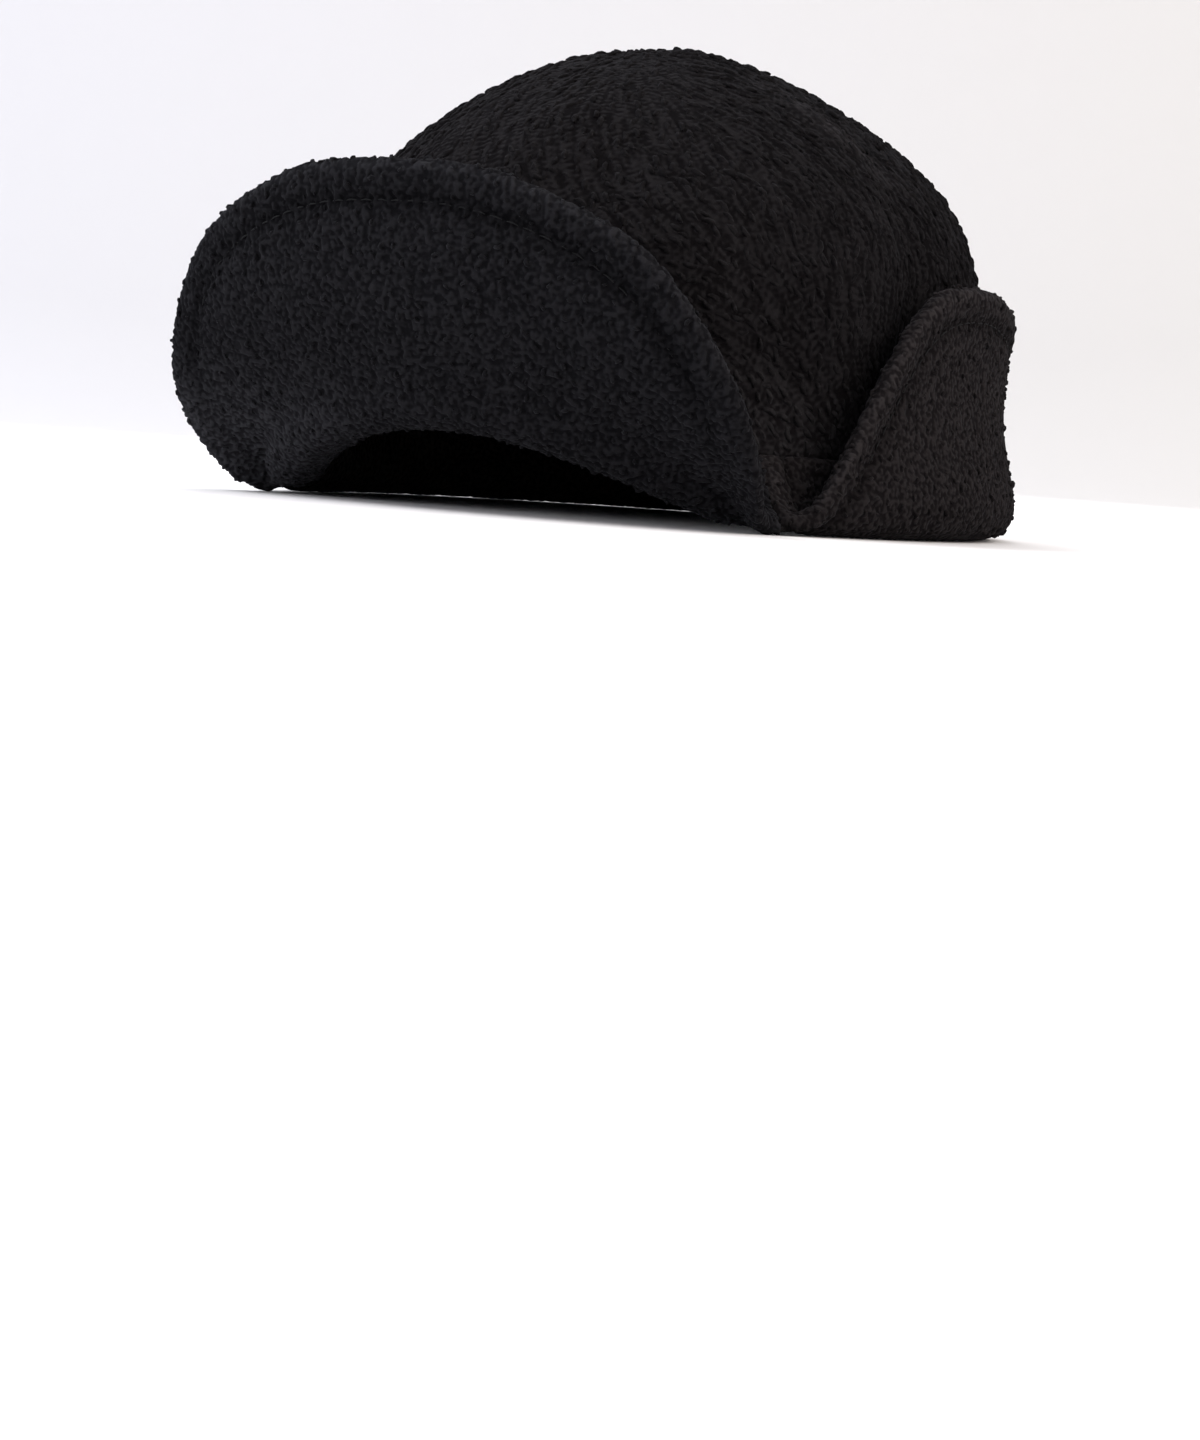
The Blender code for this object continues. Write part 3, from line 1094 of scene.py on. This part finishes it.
@dataclass(frozen=True)
class Topstitch:
    """A row of stitches along an edge: a valley in the pile with a fine thread at its bottom."""

    from_edge: float
    depth: float
    half_width: float
    stitch: float = 3.2 * MM
    gap: float = 1.2 * MM
    thread: float = 0.22 * MM
    points: int = 5
    sides: int = 5
    reach: float = 1.6 * MM
    lift: float = 0.1
    sunk: float = 0.6
    end_thickness: float = 0.45
    fewest: int = 2

    def valley(self, distance: np.ndarray) -> np.ndarray:
        """Returns how much of the valley there is at these distances from the edge, from 0 to 1."""
        return np.exp(-(((distance - self.from_edge) / self.half_width) ** 2))

    def row(
        self, points: np.ndarray, normals: np.ndarray, distance: np.ndarray, edge: EdgeLine
    ) -> np.ndarray:
        """Finds the line that the stitches follow on one face of the cloth.

        Args:
            points: the points of that face.
            normals: their normals.
            distance: their distances to the edge.
            edge: the free edge.

        Returns:
            The points of the row, in order round the head.
        """
        near = np.abs(distance - self.from_edge) < self.reach
        points = points[near] + normals[near] * self.thread * self.lift
        angle = edge.oval.angle(points)
        place = ((angle + math.pi) / (2 * math.pi) * edge.bins).astype(int) % edge.bins
        total = np.stack([np.bincount(place, points[:, axis], edge.bins) for axis in range(3)], axis=1)
        count = np.bincount(place, minlength=edge.bins)
        enough = count > self.fewest
        middle = total[enough] / count[enough, None]
        return edge.smoothed(middle, edge.oval.angle(middle))

    def sew(self, lines: list[np.ndarray], name: str, material: bpy.types.Material) -> bpy.types.Mesh:
        """Lays stitches along lines.

        Args:
            lines: the rows, each as points in order.
            name: the mesh's name.
            material: the thread's material.

        Returns:
            A mesh of the stitches.
        """
        mesh = bpy.data.meshes.new(name + "_rows")
        points: list[tuple[float, ...]] = []
        edges: list[tuple[int, int]] = []
        for line in lines:
            start = len(points)
            points += [tuple(point) for point in line]
            edges += [(start + step, start + step + 1) for step in range(len(line) - 1)]
        mesh.from_pydata(points, edges, [])
        tree = GeometryTree(
            "stitches_" + name,
            {"Stitch": self.stitch, "Gap": self.gap, "Thread": self.thread},
        )
        graph = tree.graph
        row = graph.value("GeometryNodeMeshToCurve", {"Mesh": tree.mesh()})
        row = graph.value(
            "GeometryNodeResampleCurve",
            {"Curve": row, "Length": tree.size("Stitch") + tree.size("Gap")},
            mode="LENGTH",
        )
        line, along = graph.straight(self.points)
        arch = (along * math.pi).sin()
        place = graph.value(
            "ShaderNodeCombineXYZ",
            {"X": (along - 0.5) * tree.size("Stitch"), "Z": (arch - self.sunk) * tree.size("Thread")},
        )
        taper = self.end_thickness + (1.0 - self.end_thickness) * arch
        thread = graph.tube(line, place, self.sides, tree.size("Thread"), taper)
        tangent = graph.value("GeometryNodeInputTangent")
        turn = graph.value("FunctionNodeAlignRotationToVector", {"Vector": tangent}, axis="X")
        sewn = graph.value(
            "GeometryNodeInstanceOnPoints", {"Points": row, "Instance": thread, "Rotation": turn}
        )
        real = graph.value("GeometryNodeRealizeInstances", {"Geometry": sewn})
        tree.finish(on_floor(graph, real), material)
        return tree.run(mesh, name)


@dataclass
class Piece:
    """One cloth piece of the cap with its pile."""

    name: str
    nodes: tuple[str, ...]
    slot: str
    nubs: Nubs
    oval: HeadOval
    made: list[bpy.types.Object] = field(default_factory=list, kw_only=True)

    def report(self) -> None:
        """Rides every mesh of the piece on the body and logs its size."""
        for thing in self.made:
            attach(thing, "root")
            faces = sum(len(face.vertices) - 2 for face in thing.data.polygons)
            LOG.info("%s: %d triangles", thing.name, faces)
        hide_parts(*self.nodes)

    def add(self, name: str, mesh: bpy.types.Mesh) -> bpy.types.Object:
        """Keeps a finished mesh as an object of this piece.

        Args:
            name: the object's name.
            mesh: its mesh.

        Returns:
            The object.
        """
        thing = put(name, mesh)
        self.made.append(thing)
        return thing


class PaintedFoldShading(Enum):
    """How a soft fold of the crown is painted: a dimple with painted shade, a ridge with a painted
    highlight.
    """

    DIMPLE = 0.45
    RIDGE = 2.0


@dataclass(frozen=True)
class SoftFold:
    """A short dimple or ridge of the crown, in angle round the head and height."""

    angle: float
    height: float
    half_length: float
    half_width: float
    lean: float
    depth: float
    shading: PaintedFoldShading

    def hill(self, angle: np.ndarray, height: np.ndarray, reach: float) -> np.ndarray:
        """Measures how much of the fold there is at points, from 0 to 1.

        Args:
            angle: each point's angle round the head.
            height: each point's height.
            reach: the head's radius, which turns angles into lengths.

        Returns:
            One number for each point.
        """
        across = (angle - self.angle) * reach
        up = height - self.height
        along = up * math.cos(self.lean) + across * math.sin(self.lean)
        beside = across * math.cos(self.lean) - up * math.sin(self.lean)
        return np.exp(-((along / self.half_length) ** 2) - (beside / self.half_width) ** 2)


@dataclass
class Crown(Piece):
    """The crown's four sewn panels, with longer pile that streams down from the top."""

    locks: Locks = Locks(
        spacing=2.7 * MM,
        length=4.4 * MM,
        thickness=0.75 * MM,
        curl=1.2,
        lift=0.5 * MM,
        spread=0.6,
        seed=11,
    )
    voxel: float = 1.45 * MM
    # The pile begins between these heights and swells the cloth
    rim_height: float = 17.0 * MM
    gutter_height: float = 19.0 * MM
    swell: float = 0.5 * MM
    # The rim is tucked into the fold of the turned-up pieces
    tuck_from: float = 3.0 * MM
    tuck_height: float = 10.0 * MM
    tuck_down: float = 3.0 * MM
    tuck_out: float = 0.7 * MM
    # Painted light makes the pile palest at the rim, which lies in shade
    shade_height: float = 24.0 * MM
    rim_painted_light: float = 1.8
    rim_bins: int = 180
    folds: tuple[SoftFold, ...] = (
        SoftFold(
            angle=math.radians(87),
            height=103.0 * MM,
            half_length=8.0 * MM,
            half_width=3.2 * MM,
            lean=math.radians(109),
            depth=0.9 * MM,
            shading=PaintedFoldShading.DIMPLE,
        ),
        SoftFold(
            angle=math.radians(77),
            height=104.0 * MM,
            half_length=17.0 * MM,
            half_width=3.8 * MM,
            lean=math.radians(120),
            depth=0.9 * MM,
            shading=PaintedFoldShading.RIDGE,
        ),
    )
    # The pile streams down, swept back at the temples, in waves
    sweep: float = 0.75
    sweep_right: float = 0.2
    sweep_angle: float = math.radians(42.0)
    sweep_width: float = math.radians(26.0)
    wave: float = 0.35
    wave_height: float = 11.0 * MM
    waves_round: float = 4.0
    # What faces away from the heart, a point inside the crown, is its outer face
    heart_height: float = 0.35
    inside: float = -0.2 * MM
    outside: float = 8.0 * MM
    # The locks of the front and of the back are two pieces, blended over this width
    half_split: float = 0.5 * MM

    def above_rim(self, points: np.ndarray) -> np.ndarray:
        """Measures height over the crown's rim.

        Args:
            points: the points of the cloth.

        Returns:
            Each point's height over the rim at its angle round the head.
        """
        share = (self.oval.angle(points) + math.pi) / (2 * math.pi) * self.rim_bins
        place = share.astype(int) % self.rim_bins
        lowest = np.full(self.rim_bins, np.inf)
        np.minimum.at(lowest, place, points[:, 2])
        middles = np.arange(self.rim_bins) + 0.5
        return points[:, 2] - np.interp(share, middles, lowest, period=self.rim_bins)

    def flow(self, points: np.ndarray, normals: np.ndarray) -> np.ndarray:
        """Finds the way that the pile lies: down the crown, swept back over both temples.

        Args:
            points: the points of the cloth.
            normals: their normals.

        Returns:
            One direction for each point, along the cloth.
        """
        angle = self.oval.angle(points)
        left = np.exp(-(((angle - self.sweep_angle) / self.sweep_width) ** 2))
        right = np.exp(-(((angle + self.sweep_angle) / self.sweep_width) ** 2))
        waves = self.wave * np.sin(points[:, 2] / self.wave_height + self.waves_round * angle)
        turn = self.sweep * left - self.sweep_right * right + waves
        return turned(laid_along(normals, (0.0, 0.0, -1.0)), normals, turn)

    def build(self, frame: dict[str, Any], material: bpy.types.Material) -> None:
        """Builds the crown's cloth and pile.

        Args:
            frame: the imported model.
            material: the fleece.
        """
        cloth = Cloth(self.name, self.nodes, self.voxel).refine(frame)
        points = points_of(cloth)
        normals = normals_of(cloth)
        above = self.above_rim(points)
        near = (1.0 - smooth_step(above, self.tuck_from, self.tuck_height))[:, None]
        tuck = self.oval.outwards(points) * self.tuck_out - (0.0, 0.0, self.tuck_down)
        points = points + near * tuck
        heart = np.array([0.0, self.oval.middle_y, self.heart_height * points[:, 2].max()])
        outer = smooth_step(dots(normals, points - heart), self.inside, self.outside)
        cover = outer * smooth_step(points[:, 2], self.rim_height, self.gutter_height)
        lift = cover * self.swell
        # Painted light makes the pile paler near the rim
        painted_shading = self.rim_painted_light + (1.0 - self.rim_painted_light) * smooth_step(above, 0.0, self.shade_height)
        # Painted shade in each dimple and a painted highlight along each ridge
        for fold in self.folds:
            hill = fold.hill(self.oval.angle(points), points[:, 2], self.oval.half_width) * cover
            lift = lift + hill * fold.depth
            painted_shading = painted_shading * (1.0 + (fold.shading.value - 1.0) * hill)
        move_points(cloth, points + normals * lift[:, None])
        middle = -self.oval.middle_y
        front = smooth_step(-points[:, 1], middle - self.half_split, middle + self.half_split)
        store(cloth, "cover", cover)
        store(cloth, "front", cover * front)
        store(cloth, "back", cover * (1.0 - front))
        store(cloth, "pile", np.ones(len(points)))
        store(cloth, "painted_shading", painted_shading)
        store(cloth, "flow", self.flow(points, normals))
        ground = self.nubs.roughen(cloth, self.name + "_cloth", material)
        self.add(self.name + "_cloth", ground)
        for half in ("front", "back"):
            name = f"{self.name}_pile_{half}"
            self.add(name, replace(self.locks, cover_name=half).grow(ground, name, material))
        self.report()


@dataclass
class Cuff(Piece):
    """A turned-up piece, brim or ear flap, with short curly pile and a topstitched edge."""

    stitch: Topstitch
    outside_locks: Locks
    inside_locks: Locks
    voxel: float
    # The pile stands from just inside the head's oval outwards, but not under the sole
    head_side: float = -0.8 * MM
    head_blend: float = 2.0 * MM
    sole_height: float = 2.5 * MM
    sole_facing: float = -0.6
    away_from: float = -0.25
    away_to: float = -0.1
    swell: float = 0.7 * MM
    # The topstitched valley gets painted shade and its pile is shorter
    valley_painted_shade: float = 0.45
    valley_short: float = 0.45
    # A painted sheen makes the pile paler on the very edge
    edging_from: float = 0.5 * MM
    edging_width: float = 1.5 * MM
    edge_painted_sheen: float = 0.5
    # Painted light may make it paler in the gutter beside the crown, which lies in shade
    gutter_from: float = 4.0 * MM
    gutter_to: float = 9.0 * MM
    gutter_painted_light: float = 0.0
    # Towards the floor the valley may fade, and painted light may make the pile paler on the wearer's right
    low_from: float = 12.0 * MM
    low_to: float = 40.0 * MM
    low_flat: float = 0.0
    low_painted_light: float = 0.0
    # Each row of stitches lies on what faces this much away from the head or towards it
    facing_least: float = 0.1
    # The way of the pile winds about over these distances
    wind: float = 1.6
    wind_size: tuple[float, float, float] = (6.0 * MM, 7.0 * MM, 5.0 * MM)

    def cover(self, points: np.ndarray, normals: np.ndarray) -> dict[Side, np.ndarray]:
        """Finds where the pile stands on each face of the cloth, from 0 to 1.

        Args:
            points: the points of the cloth.
            normals: their normals.

        Returns:
            One number for each point, for the face away from the crown and for the one towards it.
        """
        facing = dots(normals, self.oval.outwards(points))
        offset = self.oval.offset(points)
        beside_head = smooth_step(offset, self.head_side, self.head_side + self.head_blend)
        lying = (points[:, 2] < self.sole_height) & (normals[:, 2] < self.sole_facing)
        away = smooth_step(facing, self.away_from, self.away_to)
        shown = beside_head * ~lying
        return {Side.OUTSIDE: away * shown, Side.INSIDE: (1.0 - away) * shown}

    def flow(self, points: np.ndarray, normals: np.ndarray) -> np.ndarray:
        """Finds the way that the pile lies, which winds about.

        Args:
            points: the points of the cloth.
            normals: their normals.

        Returns:
            One direction for each point, along the cloth.
        """
        place = points / np.array(self.wind_size)
        turn = (np.sin(place[:, 0]) + np.sin(place[:, 1])) * self.wind + place[:, 2]
        return turned(laid_along(normals, (0.0, 0.0, 1.0)), normals, turn)

    def build(
        self, frame: dict[str, Any], material: bpy.types.Material, thread: bpy.types.Material
    ) -> None:
        """Builds the piece's cloth, pile and stitches.

        Args:
            frame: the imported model.
            material: the fleece.
            thread: the stitches' material.
        """
        cloth = Cloth(self.name, self.nodes, self.voxel).refine(frame)
        points = points_of(cloth)
        normals = normals_of(cloth)
        edge = EdgeLine(self.oval)
        edge.find(points)
        distance = edge.distance(points)
        low = 1.0 - smooth_step(points[:, 2], self.low_from, self.low_to)
        valley = self.stitch.valley(distance) * (1.0 - self.low_flat * low)
        cover = self.cover(points, normals)
        shown = cover[Side.OUTSIDE] + cover[Side.INSIDE]
        points = points + normals * (shown * self.swell - valley * self.stitch.depth)[:, None]
        move_points(cloth, points)
        store(cloth, "cover", shown)
        for side in Side:
            store(cloth, side.value, cover[side])
        store(cloth, "pile", 1.0 - self.valley_short * valley)
        # Painted shade in the valley; painted light in the gutter, on the edge and low on the wearer's
        # right
        gutter = 1.0 - smooth_step(self.oval.offset(points), self.gutter_from, self.gutter_to)
        edging = 1.0 - smooth_step(distance, self.edging_from, self.edging_width)
        right = np.clip(-points[:, 0] / self.oval.half_width, 0.0, 1.0)
        painted_shading = (1.0 - self.valley_painted_shade * valley) * (1.0 + self.gutter_painted_light * gutter)
        painted_shading = painted_shading * (1.0 + self.edge_painted_sheen * edging) * (1.0 + self.low_painted_light * low * right)
        store(cloth, "painted_shading", painted_shading)
        store(cloth, "flow", self.flow(points, normals))
        facing = dots(normals, self.oval.outwards(points))
        rows = [
            self.stitch.row(points[way], normals[way], distance[way], edge)
            for way in (facing > self.facing_least, facing < -self.facing_least)
        ]
        ground = self.nubs.roughen(cloth, self.name + "_cloth", material)
        self.add(self.name + "_cloth", ground)
        for side, locks in ((Side.OUTSIDE, self.outside_locks), (Side.INSIDE, self.inside_locks)):
            name = f"{self.name}_pile_{side.value}"
            self.add(name, replace(locks, cover_name=side.value).grow(ground, name, material))
        self.add(self.name + "_stitches", self.stitch.sew(rows, self.name + "_stitches", thread))
        self.report()


@dataclass(frozen=True)
class SoftLight:
    """A soft square light that points at the cap."""

    name: str
    place: tuple[float, float, float]
    size: float
    power: float
    colour: tuple[float, float, float]

    def build(self, aim: Vector) -> None:
        """Adds the light.

        Args:
            aim: the middle of the cap, from which its place is measured.
        """
        lamp = bpy.data.lights.new(self.name, "AREA")
        lamp.size = self.size
        lamp.energy = self.power
        lamp.color = self.colour
        thing = bpy.data.objects.new(self.name, lamp)
        thing.location = aim + Vector(self.place)
        thing.rotation_euler = (aim - thing.location).to_track_quat("-Z", "Y").to_euler()
        bpy.context.scene.collection.objects.link(thing)


@dataclass
class Studio:
    """A pale round studio: floor, curved wall, sky and lights."""

    floor_radius: float = 1.9
    wall_height: float = 1.7
    wall_curve: float = 0.9
    rings: int = 24
    segments: int = 96
    # The paper's warm side is painted light, for the warm light from the right
    paper: Paper = Paper(
        "studio_paper",
        cool=(0.765, 0.76, 0.79),
        warm=(0.735, 0.71, 0.685),
        towards=(0.866, 0.5, 0.0),
        width=1.6,
    )
    sky: tuple[float, float, float] = (0.95, 0.97, 1.0)
    sky_strength: float = 1.0
    lights: tuple[SoftLight, ...] = (
        SoftLight("key_light", (-0.9, -0.7, 1.3), 0.9, 22.0, (0.94, 0.96, 1.0)),
        SoftLight("left_light", (-0.9, -1.1, 0.0), 0.8, 24.0, (0.93, 0.96, 1.0)),
        SoftLight("rim_light", (-0.7, 1.0, 1.2), 0.8, 16.0, (0.96, 0.97, 1.0)),
        SoftLight("right_light", (1.35, -0.1, 0.8), 1.2, 20.0, (1.0, 0.91, 0.84)),
    )

    def profile(self) -> list[tuple[float, float]]:
        """Draws the floor and the wall from the middle outwards.

        Returns:
            The radius and the height of each ring.
        """
        steps = [(self.floor_radius * part, 0.0) for part in (0.25, 0.5, 0.75, 1.0)]
        for step in range(1, self.rings + 1):
            turn = 0.5 * math.pi * step / self.rings
            steps.append(
                (
                    self.floor_radius + self.wall_curve * math.sin(turn),
                    self.wall_curve * (1.0 - math.cos(turn)),
                )
            )
        steps.append((self.floor_radius + self.wall_curve, self.wall_height))
        return steps

    def build_floor(self) -> None:
        """Builds the floor with its curved wall."""
        shape = bmesh.new()
        middle = shape.verts.new((0.0, 0.0, 0.0))
        rings = []
        turns = [2 * math.pi * step / self.segments for step in range(self.segments)]
        for radius, height in self.profile():
            places = [(radius * math.cos(turn), radius * math.sin(turn), height) for turn in turns]
            rings.append([shape.verts.new(place) for place in places])
        for step in range(self.segments):
            after = (step + 1) % self.segments
            shape.faces.new((middle, rings[0][step], rings[0][after]))
            for inner, outer in zip(rings, rings[1:]):
                shape.faces.new((inner[step], outer[step], outer[after], inner[after]))
        mesh = bpy.data.meshes.new("studio_floor")
        shape.to_mesh(mesh)
        shape.free()
        mesh.shade_smooth()
        mesh.materials.append(self.paper.material())
        floor = put("studio_floor", mesh)

    def build_lights(self, aim: Vector) -> None:
        """Lights the cap softly from the left, the right and behind, under a pale sky.

        Args:
            aim: the middle of the cap.
        """
        world = bpy.data.worlds.new("studio_sky")
        world.use_nodes = True
        sky = world.node_tree.nodes["Background"]
        sky.inputs["Color"].default_value = (*self.sky, 1.0)
        sky.inputs["Strength"].default_value = self.sky_strength
        bpy.context.scene.world = world
        bpy.context.scene.view_settings.view_transform = "Standard"
        for light in self.lights:
            light.build(aim)


@dataclass
class PhotoCamera:
    """The camera, at the photograph's angle to the cap."""

    azimuth: float = 30.0
    elevation: float = 1.37
    roll: float = 4.14
    distance: float = 0.8
    focal_pixels: float = 2856.0
    target_pixel: tuple[float, float] = (641.4, 516.1)
    sensor: float = 36.0
    least_height: float = 12.0 * MM

    def axes(self) -> tuple[Vector, Vector, Vector]:
        """Finds the ways that the photograph's camera lies when it looks straight at the target.

        Returns:
            Its right, its up and the way that it looks.
        """
        turn = math.radians(self.azimuth)
        rise = math.radians(self.elevation)
        roll = math.radians(self.roll)
        level = Vector((math.sin(turn), -math.cos(turn), 0.0))
        ahead = -(level * math.cos(rise) + Vector((0.0, 0.0, math.sin(rise))))
        right = Vector((math.cos(turn), math.sin(turn), 0.0))
        up = right.cross(ahead)
        rolled_right = right * math.cos(roll) + up * math.sin(roll)
        rolled_up = up * math.cos(roll) - right * math.sin(roll)
        return rolled_right, rolled_up, ahead

    def build(self, target: Vector) -> None:
        """Builds the camera so that the target shows at its pixel of the photograph.

        Args:
            target: the middle of the head's oval, on the floor.
        """
        right, up, ahead = self.axes()
        beside = (self.target_pixel[0] - PHOTO_WIDTH / 2) / self.focal_pixels
        above = (PHOTO_HEIGHT / 2 - self.target_pixel[1]) / self.focal_pixels
        seen = Vector((beside, above, 1.0)).normalized()
        swing = Matrix.Rotation(-math.atan2(seen[0], seen[2]), 3, "Y")
        swung = swing @ seen
        lift = Matrix.Rotation(math.atan2(swung[1], swung[2]), 3, "X")
        axes = (lift @ swing).transposed() @ Matrix((right, up, ahead))
        lens = bpy.data.cameras.new("photo_camera")
        lens.sensor_fit = "AUTO"
        lens.sensor_width = self.sensor
        lens.lens = self.focal_pixels * self.sensor / PHOTO_HEIGHT
        lens.clip_start = 0.01
        camera = bpy.data.objects.new("photo_camera", lens)
        place = target - ahead * self.distance
        place.z = max(place.z, self.least_height)
        facing = Matrix((axes[0], axes[1], -axes[2])).transposed().to_4x4()
        camera.matrix_world = Matrix.Translation(place) @ facing
        bpy.context.scene.collection.objects.link(camera)
        bpy.context.scene.camera = camera


@dataclass
class EarflapCap:
    """The whole cap."""

    oval: HeadOval
    crown_fleece: Fleece = Fleece(
        "fleece_crown",
        root=(0.0031, 0.0028, 0.0030),
        tip=(0.0108, 0.0101, 0.0107),
        sheen=0.02,
        curl_size=3.1 * MM,
        combed=0.6,
    )
    # Brim and flap are one fleece; the brim's copy is cooler and the flap's warmer and paler: painted light
    brim_fleece_cool_lit: Fleece = Fleece(
        "fleece_cuff",
        root=(0.0038, 0.0038, 0.0043),
        tip=(0.0108, 0.0107, 0.0119),
    )
    flap_fleece_warm_lit: Fleece = Fleece(
        "fleece_flap_warm_lit",
        root=(0.0050, 0.0044, 0.0046),
        tip=(0.0163, 0.0145, 0.0149),
    )
    thread: SewingThread = SewingThread("sewing_thread", (0.0046, 0.0046, 0.0051))
    short_lock: Locks = Locks(
        spacing=3.4 * MM,
        length=2.2 * MM,
        thickness=0.5 * MM,
        curl=2.4,
        lift=0.75 * MM,
        spread=math.pi,
        seed=101,
    )

    def build(self, frame: dict[str, Any]) -> None:
        """Builds every piece in order.

        Args:
            frame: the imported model.
        """
        thread = self.thread.material()
        self.crown().build(frame, self.crown_fleece.material())
        self.brim().build(frame, self.brim_fleece_cool_lit.material(), thread)
        self.ear_flap().build(frame, self.flap_fleece_warm_lit.material(), thread)

    def crown(self) -> Crown:
        """Returns the crown's four panels as one piece."""
        nubs = Nubs(4.8 * MM, 0.35 * MM, combed=0.6)
        return Crown("crown", CROWN_PANELS, "fleece_crown", nubs, self.oval)

    def brim(self) -> Cuff:
        """Returns the turned-up brim, whose lower end on the wearer's right gets painted light."""
        return Cuff(
            name="brim",
            nodes=("brim",),
            slot="fleece_cuff",
            nubs=Nubs(2.6 * MM, 0.6 * MM),
            oval=self.oval,
            voxel=0.8 * MM,
            low_flat=0.7,
            low_painted_light=1.6,
            stitch=Topstitch(8.0 * MM, 0.9 * MM, 2.6 * MM),
            outside_locks=self.short_lock,
            inside_locks=replace(self.short_lock, spacing=3.0 * MM, seed=131),
        )

    def ear_flap(self) -> Cuff:
        """Returns the flap that is turned up from temple to temple round the back."""
        return Cuff(
            name="ear_flap",
            nodes=("ear_flap",),
            slot="fleece_cuff",
            nubs=Nubs(2.6 * MM, 0.55 * MM),
            oval=self.oval,
            voxel=1.1 * MM,
            gutter_painted_light=0.2,
            stitch=Topstitch(7.0 * MM, 0.9 * MM, 2.0 * MM),
            outside_locks=replace(self.short_lock, spacing=3.2 * MM, seed=151),
            inside_locks=replace(self.short_lock, length=2.4 * MM, seed=171),
        )


def main() -> None:
    """Loads the frame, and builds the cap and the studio."""
    logging.basicConfig(level=logging.INFO, format="%(message)s")
    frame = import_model()
    oval = HeadOval.read()
    PhotoCamera().build(oval.middle())
    EarflapCap(oval).build(frame)
    studio = Studio()
    studio.build_floor()
    studio.build_lights(oval.middle(60.0 * MM))


if __name__ == "__main__":
    main()
